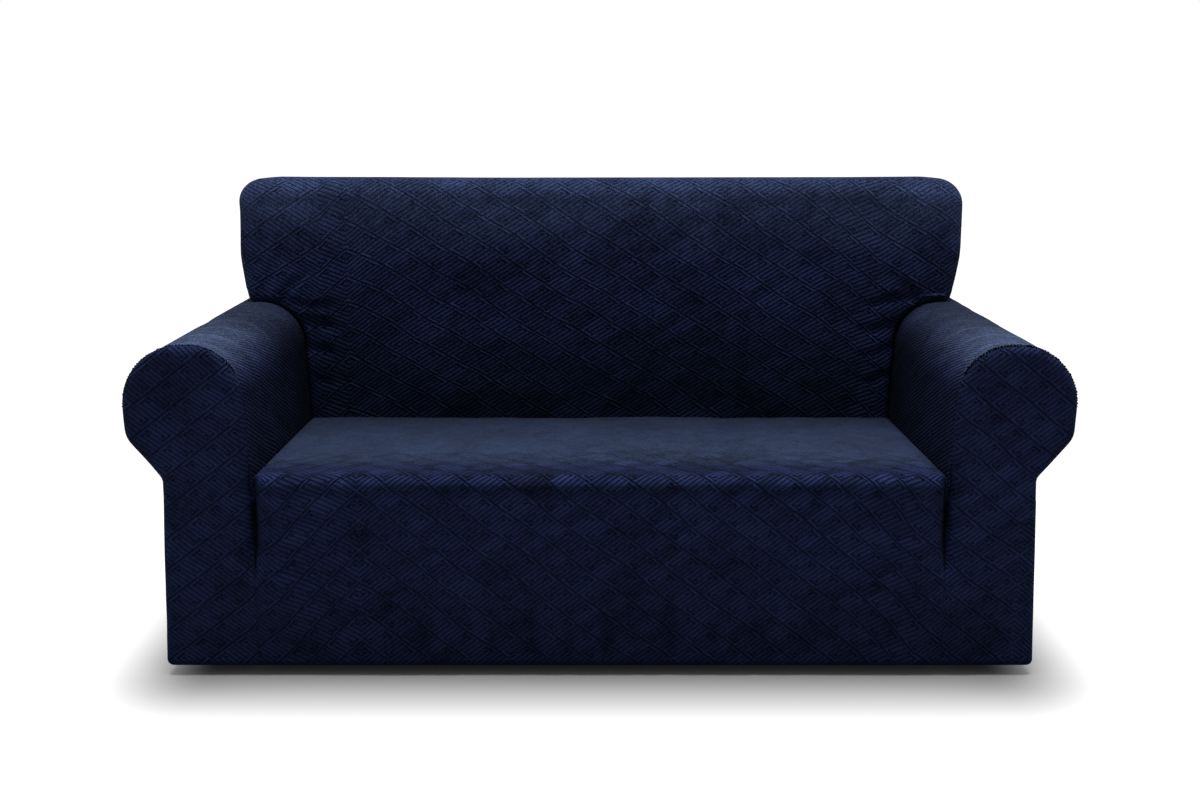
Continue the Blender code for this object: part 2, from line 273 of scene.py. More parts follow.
def turned(edge, outward, radius, seam, steps=TURN_STEPS):
    """Rows that turn from a panel's flat outwards and back to the seam, and their places on the cloth."""
    radius = np.broadcast_to(radius, len(edge))
    out, deep = turn_shares(steps)
    run = lengths(np.column_stack([out, deep]))
    rows, flat = [], []
    for share_out, share_deep, share_run in zip(out, deep, run):
        plan = edge + outward * (radius * share_out)[:, None]
        rows.append(in_room(plan, seam - radius * (1 - share_deep)))
        flat.append(edge + outward * (radius * share_run)[:, None])
    return np.array(rows), np.array(flat)


class Panel:
    """Patches of one cloth, with each point's place on the flat cloth."""

    def __init__(self, name):
        self.name = name
        self.points, self.flat, self.quads = [], [], []

    def patch(self, points, flat):
        rows, columns = points.shape[:2]
        first = sum(map(len, self.points))
        index = first + np.arange(rows * columns).reshape(rows, columns)
        self.points.append(points.reshape(-1, 3))
        self.flat.append(np.broadcast_to(flat, (rows, columns, 2)).reshape(-1, 2))
        quads = np.stack([index[:-1, :-1], index[:-1, 1:], index[1:, 1:], index[1:, :-1]], axis=-1)
        self.quads.append(quads.reshape(-1, 4))

    def surface(self, inside):
        """One welded mesh of the patches, facing away from the point inside."""
        points, flat = np.concatenate(self.points), np.concatenate(self.flat)
        _, kept, merged = np.unique(np.round(points, 5), axis=0, return_index=True, return_inverse=True)
        quads = merged.reshape(-1)[np.concatenate(self.quads)]
        data = bpy.data.meshes.new(self.name)
        data.from_pydata(points[kept].tolist(), [], quads.tolist())
        layer = data.uv_layers.new(name="UVMap")
        corner = np.empty(len(data.loops), np.int32)
        data.loops.foreach_get("vertex_index", corner)
        layer.uv.foreach_set("vector", flat[kept][corner].astype(np.float32).ravel())
        mesh = bmesh.new()
        mesh.from_mesh(data)
        bmesh.ops.dissolve_degenerate(mesh, edges=mesh.edges, dist=0.00001)
        bmesh.ops.recalc_face_normals(mesh, faces=mesh.faces)
        mesh.normal_update()
        outward = sum(face.calc_area() * face.normal.dot(face.calc_center_median() - Vector(inside))
                      for face in mesh.faces)
        if outward < 0:
            bmesh.ops.reverse_faces(mesh, faces=mesh.faces)
        mesh.to_mesh(data)
        mesh.free()
        data.shade_smooth()
        return in_scene(self.name, data)


def flat_cut(panel):
    """Width, length and area of the flat cloth in metres, from the places on it."""
    places = np.empty(len(panel.data.loops) * 2, np.float32)
    panel.data.uv_layers["UVMap"].uv.foreach_get("vector", places)
    width, length = np.ptp(places.reshape(-1, 2), axis=0)
    area = sum(face.area for face in panel.data.polygons)
    print(panel.name, "is cut from", round(width, 2), "x", round(length, 2), "m, area", round(area, 2))
    return float(width), float(length), float(min(area, width * length))


def places_of(panel):
    """The points of the cloth, one to a row."""
    places = np.empty(len(panel.data.vertices) * 3, np.float32)
    panel.data.vertices.foreach_get("co", places)
    return places.reshape(-1, 3)


def placed(panel, places):
    """Puts the points of the cloth at these places."""
    panel.data.vertices.foreach_set("co", places.astype(np.float32).ravel())
    panel.data.update()


def moved(panel, relief):
    """Moves each point of the cloth outwards by relief(places), in metres."""
    places = places_of(panel).astype(float)
    facing = np.empty(places.size, np.float32)
    panel.data.vertex_normals.foreach_get("vector", facing)
    placed(panel, places + facing.reshape(-1, 3) * relief(places)[:, None])


def shifted(panel, axis, distance):
    """Moves each point of the cloth along one axis by distance(x, y, z), in metres."""
    places = places_of(panel).astype(float)
    places[:, axis] += distance(*places.T)
    placed(panel, places)


def made_plain(panel):
    """Keeps what the modifiers of an object make as a plain mesh."""
    graph = bpy.context.evaluated_depsgraph_get()
    data = bpy.data.meshes.new_from_object(panel.evaluated_get(graph))
    panel.modifiers.clear()
    panel.data = data
    data.shade_smooth()
    print(panel.name, sum(len(face.vertices) - 2 for face in data.polygons), "triangles")


# %% [markdown]
# ## Skirt, arm fronts and seat
# One cloth falls from the seat's front edge to the hem. Beside each arm it is sewn into a crease that
# fades out above the hem, and below that point skirt and arm front are one. The seat part runs up over
# the rounded front edge, back across the deck and down into the crease in front of the back.

# %% Skirt and seat
SEAT_COLUMNS = 2 * round(SEAT_EDGE / WEAVE_STEP)
ARM_FRONT_COLUMNS = 20
SKIRT_ROWS = 48


def front_row(height):
    """One row of the skirt from seam to seam, and its places on the flat cloth."""
    inset = float(hem_inset(height))
    out, deep = turn_shares()
    run = lengths(np.column_stack([out, deep]))
    crease = float(fade(height, DART_END, SPLIT))
    crease_x = (SEAT_EDGE + ARM_IN) / 2
    from_crease = ROUNDING * (1 - out) + CREASE_SLACK * ((out < 1).astype(float) + (deep < 1))
    flat_edge = float(leg_edge(height)) - ROUNDING
    seat_x = np.linspace(0.0, crease_x - from_crease[0], SEAT_COLUMNS // 2 + 1)
    seat_side = np.column_stack([crease_x - from_crease, inset + ROUNDING * deep * crease])
    arm_side = np.column_stack([crease_x + from_crease, seat_side[:, 1]])[::-1]
    arm_x = np.linspace(crease_x + from_crease[0], flat_edge, ARM_FRONT_COLUMNS + 1)
    outer = np.column_stack([
        flat_edge + (ROUNDING - inset) * out,
        ROUNDING - (ROUNDING - inset) * (1 - deep),
    ])
    half = np.concatenate([
        np.column_stack([seat_x[:-1], np.full(len(seat_x) - 1, inset)]),
        seat_side[:-1],
        arm_side[:-1],
        np.column_stack([arm_x[:-1], np.full(len(arm_x) - 1, inset)]),
        outer,
    ])
    extra = 2 * ROUNDING * (run[-1] - 1)
    cloth = np.concatenate([
        seat_x[:-1],
        seat_x[-1] + ROUNDING * run[:-1],
        seat_x[-1] + ROUNDING * (2 * run[-1] - run[:0:-1]),
        arm_x[:-1] + extra,
        flat_edge + extra + ROUNDING * run,
    ])
    row = np.concatenate([half[:0:-1] * (-1, 1), half])
    cloth = np.concatenate([-cloth[:0:-1], cloth])
    points = np.column_stack([row[:, 0], FRONT + row[:, 1], np.full(len(row), height)])
    return points, np.column_stack([cloth, np.full(len(row), height)])


def seat_rows(first, first_flat):
    """The seat, up from the skirt, over the front edge, back over the deck and into the crease."""
    profile = evenly(
        rounded((
            (0.0, SPLIT, 0.0),
            (0.0, SEAT_FRONT_TOP, SEAT_ROUNDING),
            (SEAT_REAR - FRONT, SEAT_REAR_TOP, SEAT_REAR_ROUNDING),
            (SEAT_REAR - FRONT, TUCK_DEPTH, 0.0),
        ), turn=math.radians(5)),
        WEAVE_STEP,
    )
    up = normals(profile)
    width = first[:, 0] * SEAT_EDGE / first[-1, 0]
    drop = first[:, 1] - FRONT
    rows, flat = [first], [first_flat]
    for (y, z), (normal_y, normal_z), run in zip(profile[1:], up[1:], lengths(profile)[1:]):
        crown = SEAT_CROWN * (1 - (width / SEAT_EDGE) ** 2) * fade(y, 0.0, 0.2) * (1 - fade(y, 0.4, 0.58))
        rows.append(np.column_stack([width, FRONT + y - normal_y * drop, z - normal_z * drop + crown]))
        flat.append(first_flat + (0.0, run))
    return np.array(rows), np.array(flat)


def arm_front(panel, first, first_flat, side):
    """The front of one arm's roll, turned over to its seam all round."""
    inner, outer = (ARM_IN, SPLIT, 0.0), (float(leg_edge(SPLIT)), SPLIT, 0.0)
    outline = rounded((inner, *ARM_SECTION[1:-1], outer))
    end = lengths(outline)[-1]
    rows = round((end / WEAVE_STEP - ARM_FRONT_COLUMNS) / 2)
    outline = at(outline, np.linspace(0.0, end, 2 * rows + ARM_FRONT_COLUMNS + 1))
    outward = normals(outline)
    edge = outline - outward * ROUNDING
    bottom = first[TURN_STEPS + 1 : -TURN_STEPS - 1, [0, 2]] * (side, 1)
    edge[[0, -1]] = bottom[[0, -1]]
    middle = filled(
        bottom, edge[rows : rows + ARM_FRONT_COLUMNS + 1], edge[: rows + 1], edge[: -rows - 2 : -1]
    )
    shift = np.array((first_flat[TURN_STEPS + 1, 0] * side - bottom[0, 0], 0.0))
    panel.patch(in_room(middle * (side, 1), FRONT), (middle + shift) * (side, 1))
    rim, rim_flat = turned(edge, outward, ROUNDING, FRONT + ROUNDING)
    rim = rim * (side, 1, 1)
    rim[:, 0] = first[TURN_STEPS + 1 :: -1]
    rim[:, -1] = first[-2 - TURN_STEPS :]
    panel.patch(rim, (rim_flat + shift) * (side, 1))


front = Panel("front_cloth_panel")
heights = np.concatenate([HEM_HEIGHTS, np.linspace(HEM_ROLL, SPLIT, SKIRT_ROWS)])
skirt, skirt_flat = (np.array(part) for part in zip(*map(front_row, heights)))
front.patch(skirt, skirt_flat)
top_row, top_flat = skirt[-1], skirt_flat[-1]
middle_column = len(top_row) // 2
crease_column = SEAT_COLUMNS // 2 + TURN_STEPS + 1
between = slice(middle_column - crease_column, middle_column + crease_column + 1)
front.patch(*seat_rows(top_row[between], top_flat[between]))
for side, part in ((1, slice(middle_column + crease_column, None)),
                   (-1, slice(middle_column - crease_column, None, -1))):
    arm_front(front, top_row[part], top_flat[part], side)
front_cloth = front.surface((0.0, 0.0, -1.0))
print("front and seat:", len(front_cloth.data.polygons), "faces")

# %% [markdown]
# ## Arms
# Each arm is wrapped in its own cloth, from the crease with the seat up the inner side, over the roll and
# down to the hem. Behind the inside back only the outer part of the roll and the side below it go on.

# %% Arms
def arm_panel(name, side):
    panel = Panel(name)
    section = evenly(rounded(ARM_SECTION)[:-1], WEAVE_STEP)
    low = HEM_HEIGHTS[-1]
    leg = np.linspace(section[-1, 1], low, round((section[-1, 1] - low) / WEAVE_STEP) + 1)[1:]
    hem = HEM_HEIGHTS[-2::-1]
    section = np.concatenate([
        section,
        np.column_stack([leg_edge(leg), leg]),
        np.column_stack([leg_edge(hem) - hem_inset(hem), hem]),
    ])
    along = lengths(section)
    roll = int(np.argmax(section[:, 0] > NECK - ARM_LAP))
    start, end = FRONT + ROUNDING + SEAM_GAP, REAR - ROUNDING - SEAM_GAP
    for low_y, high_y, first in ((start, ARM_NOTCH, 0), (ARM_NOTCH, end, roll)):
        ways = np.linspace(low_y, high_y, round((high_y - low_y) / WEAVE_STEP) + 1)
        part, run = section[first:], along[first:]
        points = np.array([[(side * x, y, z) for x, z in part] for y in ways])
        flat = np.array([[(side * (y - FRONT), -place) for place in run] for y in ways])
        panel.patch(points, flat)
    return panel.surface((side * (ARM_IN + ARM_OUT) / 2, 0.0, 0.3))


arm_cloths = {side: arm_panel(f"arm_cloth_{name}", side) for name, side in (("left", -1), ("right", 1))}
print("arm:", len(arm_cloths[1].data.polygons), "faces")

# %% [markdown]
# ## Inside back
# The inside back is fitted over the arms: its edge follows their roll and is pushed into the crease.
# Above the arms it turns over the sofa's rounded edges and runs back to the seam with the outside back.

# %% Inside and outside back
SIDE_STEP = 0.0072


def outline_of(corners):
    """A panel's edge, up its left side, over the top and down the right, and how many steps a side has."""
    run = rounded(corners)
    corner = corners[1][0] - BACK_CORNER + BACK_CORNER * math.pi / 4
    end = lengths(run)[-1]
    half = at(run, np.concatenate([
        np.linspace(0.0, corner, round(corner / SIDE_STEP) + 1),
        np.linspace(corner, end, round((end - corner) / SIDE_STEP) + 1)[1:],
    ]))
    return np.concatenate([half[:0:-1] * (-1, 1), half]), round((end - corner) / SIDE_STEP)


def face_of(edge, side_steps):
    """The flat of a panel inside its edge."""
    top = edge[side_steps : len(edge) - side_steps]
    return filled(
        np.linspace(edge[0], edge[-1], len(top)), top, edge[: side_steps + 1], edge[: -side_steps - 2 : -1]
    )


def back_face(z):
    """Where the leaning front of the back is at this height, without its crown."""
    return BACK_FOOT + BACK_LEAN * (z - TUCK_DEPTH)


def inside_back_y(x, z):
    rise = (z - TUCK_DEPTH) / (TOP - TUCK_DEPTH)
    crown = BACK_CROWN * np.sin(math.pi * np.clip(rise, 0, 1)) * (1 - (x / BACK_HALF_WIDTH) ** 2)
    return back_face(z) - crown


def inside_back_panel():
    panel = Panel("inside_back_cloth")
    edge, side_steps = outline_of(BACK_EDGE)
    outward = normals(edge)
    radius = ROUNDING + (BACK_ROUNDING - ROUNDING) * fade(edge[:, 1], ARM_TOP + 0.01, BACK_EDGE[2][1])
    flat_edge = edge - outward * radius[:, None]
    flat_edge[[0, -1], 1] = TUCK_DEPTH
    middle = face_of(flat_edge, side_steps)
    panel.patch(in_room(middle, inside_back_y(middle[..., 0], middle[..., 1])), middle)
    seam = inside_back_y(flat_edge[:, 0], flat_edge[:, 1]) + radius
    rim, rim_flat = turned(flat_edge, outward, radius, seam, 2 * TURN_STEPS)
    panel.patch(rim, rim_flat)
    tucked = rim[-1] + (0.0, CREASE_TUCK, 0.0)
    tucked_flat = rim_flat[-1] + outward * CREASE_TUCK
    panel.patch(np.array([rim[-1], tucked]), np.array([rim_flat[-1], tucked_flat]))
    above = (np.abs(tucked[:, 0]) > NECK - ARM_LAP / 2) | (tucked[:, 2] > ARM_TOP + ARM_LAP)
    wall, wall_flat, out = tucked[above], tucked_flat[above], outward[above]
    depth = REAR - ROUNDING - SEAM_GAP - wall[:, 1]
    share = np.linspace(0.0, 1.0, round(float(depth.max()) / SIDE_STEP) + 1)[:, None, None]
    rear = wall + np.column_stack([0 * depth, depth, 0 * depth])
    panel.patch((1 - share) * wall + share * rear, wall_flat + share * out * depth[:, None])
    return panel.surface((0.0, REAR, 0.5))


def outside_back_panel():
    panel = Panel("outside_back_cloth")
    edge, side_steps = outline_of(REAR_EDGE)
    outward = normals(edge)
    flat_edge = edge - outward * ROUNDING
    flat_edge[[0, -1], 1] = HEM_HEIGHTS[-1]
    middle = face_of(flat_edge, side_steps)
    panel.patch(in_room(middle, REAR), middle)
    rim, rim_flat = turned(flat_edge, outward, ROUNDING, ROUNDING)
    rim[:, :, 1] = REAR - rim[:, :, 1]
    panel.patch(rim, rim_flat)
    across = np.concatenate([rim[::-1, 0], in_room(middle[0, 1:-1], REAR), rim[:, -1]])
    across_flat = np.concatenate([rim_flat[::-1, 0], middle[0, 1:-1], rim_flat[:, -1]])
    behind = (across[:, 1] - (REAR - ROUNDING)) / ROUNDING
    drawn, drawn_flat = [], []
    for height in HEM_HEIGHTS:
        inset = float(hem_inset(height))
        row = across.copy()
        row[:, 1] -= inset * behind
        row[:, 0] -= np.sign(row[:, 0]) * inset * (1 - behind)
        row[:, 2] = height
        drawn.append(row)
        drawn_flat.append(across_flat + (0.0, height - HEM_HEIGHTS[-1]))
    drawn[-1] = across
    panel.patch(np.array(drawn), np.array(drawn_flat))
    return panel.surface((0.0, 0.0, 0.4))


inside_back = inside_back_panel()
outside_back = outside_back_panel()
print("backs:", len(inside_back.data.polygons), len(outside_back.data.polygons), "faces")
cloths = {  # by the piece of the CAD model that each one stands for
    "front_and_seat": front_cloth, "arm_left": arm_cloths[-1], "arm_right": arm_cloths[1],
    "inside_back": inside_back, "outside_back": outside_back,
}

# %% [markdown]
# ## Drape
# Stretch cloth over padding is never quite flat. Broad, soft swells come from the padding. Creases are
# placed one by one where the cloth is pulled, each as a trough with a low ridge on either side, from a
# short table. The cloth moves along its own normal, so the panels keep their seams.

# %% Swells and creases
SWELL_WAVES = 7
SWELL_SPREAD = 2.6  # about how high that many waves reach together


def swell(places, size, height, seed):
    """Soft random hills of about this size and height."""
    draw = np.random.default_rng(seed)
    hills = np.zeros(len(places))
    for _ in range(SWELL_WAVES):
        way = draw.normal(size=3)
        way /= np.linalg.norm(way)
        wave = 2 * math.pi / (size * draw.uniform(0.7, 1.6))
        hills += np.sin(places @ way * wave + draw.uniform(0, 2 * math.pi))
    return hills * height / SWELL_SPREAD


def crease(places, start, end, width, depth, bow=0.0):
    """A trough from start to end with low shoulders, bowed sideways in the plane of the cloth."""
    start, end = np.array(start), np.array(end)
    way = end - start
    length = np.linalg.norm(way)
    way = way / length
    along = (places - start) @ way / length
    aside = places - start - np.outer(along * length, way)
    sideways = np.cross(way, (0.0, 1.0, 0.3))
    sideways /= np.linalg.norm(sideways)
    centre = np.outer(bow * np.sin(math.pi * np.clip(along, 0, 1)), sideways)
    distance = np.linalg.norm(aside - centre, axis=1) / width
    ends = fade(along, -0.15, 0.30) * (1 - fade(along, 0.55, 1.15))
    return -depth * ends * (1 - 0.9 * distance ** 2) * np.exp(-(distance ** 2))


SKIRT_RIPPLES = (
    # x, half-width, depth, height at which it fades, lean
    (-0.455, 0.020, 0.0020, 0.15, 0.02),
    (-0.395, 0.016, 0.0016, 0.11, -0.01),
    (-0.335, 0.022, 0.0030, 0.19, 0.03),
    (-0.262, 0.016, 0.0020, 0.13, 0.00),
    (-0.205, 0.020, 0.0026, 0.16, 0.02),
    (-0.128, 0.019, 0.0034, 0.21, -0.02),
    (-0.062, 0.015, 0.0020, 0.14, 0.01),
    (0.012, 0.020, 0.0026, 0.18, 0.02),
    (0.072, 0.015, 0.0018, 0.12, -0.02),
    (0.132, 0.022, 0.0032, 0.20, 0.01),
    (0.215, 0.018, 0.0020, 0.14, 0.02),
    (0.300, 0.024, 0.0018, 0.16, -0.01),
    (0.392, 0.022, 0.0014, 0.12, 0.01),
    (0.480, 0.024, 0.0012, 0.13, 0.00),
)

BACK_PULLS = (
    # start x, z, end x, z, width, depth, bow
    (0.722, 0.618, 0.640, 0.690, 0.014, 0.0040, 0.005),
    (0.712, 0.630, 0.590, 0.610, 0.015, 0.0060, -0.006),
    (0.672, 0.575, 0.570, 0.560, 0.015, 0.0062, 0.006),
    (0.655, 0.520, 0.575, 0.500, 0.013, 0.0050, 0.004),
    (0.650, 0.460, 0.590, 0.435, 0.012, 0.0036, -0.003),
    (0.745, 0.632, 0.700, 0.745, 0.016, 0.0030, 0.004),
    (0.768, 0.650, 0.765, 0.770, 0.016, 0.0024, 0.003),
)

DART_PULLS = (
    # start x, z, end x, z, width, depth
    (0.650, 0.186, 0.630, 0.128, 0.008, 0.0018),
    (0.651, 0.182, 0.655, 0.110, 0.008, 0.0016),
    (0.652, 0.190, 0.688, 0.140, 0.008, 0.0016),
    (0.648, 0.205, 0.600, 0.180, 0.008, 0.0012),
)

MOST_FRONT_SWELL, MOST_BACK_SWELL = 0.0015, 0.0018  # so that the cloth stays near its solid


def rippled(x, z):
    """How deep the soft upright ripples of the skirt are, in metres. They run out at the hem."""
    depth = 0.0 * x
    for middle, half_width, deep, top, lean in SKIRT_RIPPLES:
        distance = (x - middle - lean * z) / half_width
        depth += deep * (1 - 0.7 * distance ** 2) * np.exp(-(distance ** 2)) * (1 - fade(z, 0.03, top))
    return depth


def front_relief(places):
    x, y, z = places.T
    relief = swell(places, 0.26, 0.0016, 3) + swell(places, 0.09, 0.0005, 4)
    relief *= fade(z, 0.0, 0.02)
    relief -= 1.2 * rippled(x, z) * fade(z, 0.0, 0.03)
    for start_x, start_z, end_x, end_z, width, depth in DART_PULLS:
        for side in (-1, 1):
            start, end = (side * start_x, FRONT, start_z), (side * end_x, FRONT, end_z)
            relief += crease(places, start, end, width, depth)
    held = fade(np.abs(np.abs(x) - ARM_IN), 0.010, 0.035)
    seam = 1 - fade(y, FRONT + 0.002, FRONT + ROUNDING) * (z < SPLIT + 0.001) * (np.abs(x) > 0.7)
    return np.minimum(relief * held * seam, MOST_FRONT_SWELL)


def back_relief(places):
    x, y, z = places.T
    relief = swell(places, 0.30, 0.0022, 8) + swell(places, 0.11, 0.0008, 9)
    for start_x, start_z, end_x, end_z, width, depth, bow in BACK_PULLS:
        for side, share in ((-1, 1.0), (1, 0.85)):
            start = (side * start_x, back_face(start_z), start_z)
            end = (side * end_x, back_face(end_z), end_z)
            relief += crease(places, start, end, width, depth * share, bow)
    seam = fade(REAR - ROUNDING - y, 0.0, 0.03)
    edge = 1 - fade(y - back_face(z), 0.004, 0.012) * (z < ARM_TOP + 0.03)
    straight = 1 - 0.85 * fade(z, TOP - 0.07, TOP - 0.01)
    return np.minimum(relief, MOST_BACK_SWELL) * seam * edge * straight


def arm_relief(places):
    x, y, z = places.T
    relief = swell(places, 0.20, 0.0010, 15) + swell(places, 0.07, 0.0004, 16)
    seams = fade(y - FRONT, ROUNDING, ROUNDING + 0.03) * fade(REAR - ROUNDING - y, 0.0, 0.03)
    hidden = fade(np.abs(x), ARM_IN + 0.004, ARM_IN + 0.02)
    return np.minimum(relief, 0.0) * seams * hidden


# %% [markdown]
# ## Darts, seat edge and top rail
# Three larger forms are pushed in one direction, because they belong to the sofa's shape and not to the
# cloth's slack: the dart beside each arm, the firm front edge of the seat and the top rail of the back.

# %% Darts, seat edge and top rail
BACKWARDS, UPWARDS = 1, 2  # axes
DART_DEPTH, DART_WIDTH = 0.0240, 0.0135
BANK_HEIGHT, BANK_WIDTH, BANK_PLACE = 0.0020, 0.015, 0.032  # beside the dart, under the arm front
SEAT_EDGE_PROUD = 0.0014
SEAT_EDGE_HOLLOW = 0.0022
RAIL_RISE, RAIL_FALL = 0.0075, 0.0145  # at its front edge, and from there to the rear
RAIL_END_RISE, RAIL_CORNER_DROP = 0.0030, 0.0075


def top_rail(x, y, z):
    """The top of the back is highest near its front edge and falls away to the rear."""
    ends = RAIL_END_RISE * (x / BACK_HALF_WIDTH) ** 2 - RAIL_CORNER_DROP * fade(np.abs(x), 0.700, 0.800)
    rear = RAIL_FALL * fade(y, FRONT + 0.60, REAR - 0.02)
    return fade(z, 0.70, TOP) * (RAIL_RISE + ends - rear)


def dart_valley(x, y, z):
    """The skirt sinks softly into the seam beside each arm, and the bank next to the arm swells a little."""
    aside = np.abs(x) - ARM_IN
    height = fade(z, DART_END - 0.025, DART_END + 0.07) * (1 - 0.6 * fade(z, 0.34, 0.42))
    in_front = 1 - fade(y, FRONT + 0.004, FRONT + 0.02)
    valley = DART_DEPTH * np.exp(-(np.abs(aside) / DART_WIDTH) ** 1.5)
    bank = BANK_HEIGHT * np.exp(-(((aside - BANK_PLACE) / BANK_WIDTH) ** 2))
    return height * in_front * (valley - bank)


def seat_edge(x, y, z):
    """The firm front edge of the seat stands a little proud of the skirt below it."""
    held = 1 - fade(np.abs(x), ARM_IN - 0.05, ARM_IN - 0.01)
    proud = SEAT_EDGE_PROUD * np.exp(-(((z - (SEAT_FRONT_TOP - 0.014)) / 0.008) ** 2))
    under = SEAT_EDGE_HOLLOW * np.exp(-(((z - (SEAT_FRONT_TOP - 0.038)) / 0.011) ** 2))
    return held * (under - proud) * (1 - fade(y, FRONT + 0.03, FRONT + 0.06))


cuts = {node: flat_cut(panel) for node, panel in cloths.items()}
moved(front_cloth, front_relief)
shifted(front_cloth, BACKWARDS, dart_valley)
shifted(front_cloth, BACKWARDS, seat_edge)
moved(inside_back, back_relief)
for panel in (inside_back, outside_back):
    shifted(panel, UPWARDS, top_rail)
for panel in arm_cloths.values():
    moved(panel, arm_relief)

# %% [markdown]
# ## Where the woven pattern is stretched flat, with painted light and shade
# The raised pattern is strong on the skirt and the backs, and it is pulled almost flat over the seat and the
# arms. There the paler core of the yarns shows, and painted light from above is laid over it. Three
# attributes on the cloth say how strong the pattern is, how much of the pale core and painted light shows,
# and how much painted light and shade lighten or darken the cloth. The materials read them.

# %% Pattern strength, paleness and painted light and shade
def stored(panel, name, value):
    """Stores a number, or value(x, y, z) at each point of the cloth, under this name."""
    layer = panel.data.attributes.new(name, "FLOAT", "POINT")
    found = value(*places_of(panel).T) if callable(value) else value
    found = np.broadcast_to(found, len(panel.data.vertices))
    layer.data.foreach_set("value", found.astype(np.float32))


def on_inner_side(x, z):
    """1 on the side of an arm that faces the seat, 0 over its roll."""
    return (np.abs(x) < 0.76) * (1 - fade(z, ARM_TOP - 0.10, ARM_TOP - 0.015))


def arm_pattern(x, y, z):
    """The pattern stands out most where the inside of the arm meets its front."""
    over_top = 1 - 0.80 * fade(z, ARM_TOP - 0.075, ARM_TOP - 0.005)
    inner_rear = 1 - 0.70 * fade(y, FRONT + 0.20, FRONT + 0.55) * on_inner_side(x, z)
    return 1.45 * over_top * inner_rear


# The top of the roll is paler for its yarn's core, with painted light from above that fades towards the rear.
def arm_pale_with_painted_light(x, y, z):
    top = fade(z, ARM_TOP - 0.075, ARM_TOP - 0.005)
    return top * (1.0 - 0.35 * fade(y, FRONT + 0.10, FRONT + 0.60))


def arm_painted_light(x, y, z):
    """Painted light and shade: the roll is lit lightest at its front, and the inner side darkens in painted
    shade into the corner with the back.
    """
    side = on_inner_side(x, z)
    top = (1 - side) * (1.54 - 0.88 * fade(y, FRONT + 0.02, FRONT + 0.42))
    return top + side * (0.90 - 0.66 * fade(y, FRONT + 0.20, FRONT + 0.58))


def front_pattern(x, y, z):
    deck = fade(y, FRONT + 0.06, FRONT + 0.22)
    edge = fade(z, SEAT_FRONT_TOP - 0.045, SEAT_FRONT_TOP - 0.015) * (np.abs(x) < ARM_IN)
    return (1 + 0.9 * edge) * (1 - deck) + 0.24 * deck


# The stretched seat is paler for its yarn's core, and is also painted lighter as if lit from above, from its
# front edge on.
def front_pale_with_painted_light(x, y, z):
    return fade(y, FRONT + 0.05, FRONT + 0.13)


def dart_shade_line(x, z):
    """Painted shade: the dark line in the seam beside each arm, which narrows to nothing at its lower end."""
    width = 0.0015 + 0.0060 * fade(z, DART_END, DART_END + 0.12)
    line = np.exp(-((np.abs(np.abs(x) - ARM_IN) / width) ** 2))
    return line * fade(z, DART_END - 0.02, DART_END + 0.03) * (z < SPLIT)


def front_painted_light(x, y, z):
    """Painted shade and light: the skirt darkens towards the floor, in its ripples and in the darts, and the
    seat is lit lighter at its front and darker towards the back.
    """
    low = 1 - fade(z, 0.0, 0.30)
    ripple_shade = np.clip(rippled(x, z) / 0.0030, -0.6, 1.0) * (y < FRONT + 0.01)
    face = (1 - 0.24 * low) * (1 - 0.85 * dart_shade_line(x, z)) * (1 - 0.26 * ripple_shade)
    seat = 1.20 - 0.66 * fade(y, FRONT + 0.16, FRONT + 0.60)
    deck = front_pale_with_painted_light(x, y, z)
    return face * (1 - deck) + deck * seat


def back_pattern(x, y, z):
    return 1.15 - 0.55 * fade(z, 0.66, TOP - 0.01)


# The top of the back is paler for its yarn's core, with painted light from above on its rounded top.
def back_pale_with_painted_light(x, y, z):
    return 0.75 * fade(z, 0.69, TOP - 0.01)


def back_painted_light(x, y, z):
    """Painted shade and highlight: the back darkens towards the seat, and a painted light patch lies on each
    top corner.
    """
    corner = np.exp(-((np.abs(x) - 0.70) / 0.07) ** 2 - ((z - 0.84) / 0.035) ** 2)
    return 1.26 - 0.50 * (1 - fade(z, SEAT_FRONT_TOP, 0.62)) + 0.55 * corner


arm_look = arm_pattern, arm_pale_with_painted_light, arm_painted_light
back_look = back_pattern, back_pale_with_painted_light, back_painted_light
looks = (front_pattern, front_pale_with_painted_light, front_painted_light), arm_look, arm_look, back_look, (1.0, 0.0, 1.0)
# The last attribute is painted light and shade, and the second is the yarn's paler core with painted light.
for panel, (pattern, pale_with_painted_light, light) in zip(cloths.values(), looks):
    stored(panel, "pattern", pattern)
    stored(panel, "pale_with_painted_light", pale_with_painted_light)
    stored(panel, "light", light)

# %% [markdown]
# ## Thickness of the cloth
# The panels so far are the outer face of the cloth. The cloth is knitted stretch jacquard about two
# millimetres thick, so each panel gets that thickness inwards, and its open edge shows as a real edge.

# %% Thickness of the cloth
for panel in cloths.values():
    thickness = panel.modifiers.new("cloth", "SOLIDIFY")
    thickness.thickness = CLOTH
    thickness.offset = -1.0
    made_plain(panel)

# %% [markdown]
# ## Shader maths
# A pattern that follows a rule is worked out in the material, from each point's place on the flat cloth.
# This small class lets a socket stand in a Python expression, and one method makes every other node.

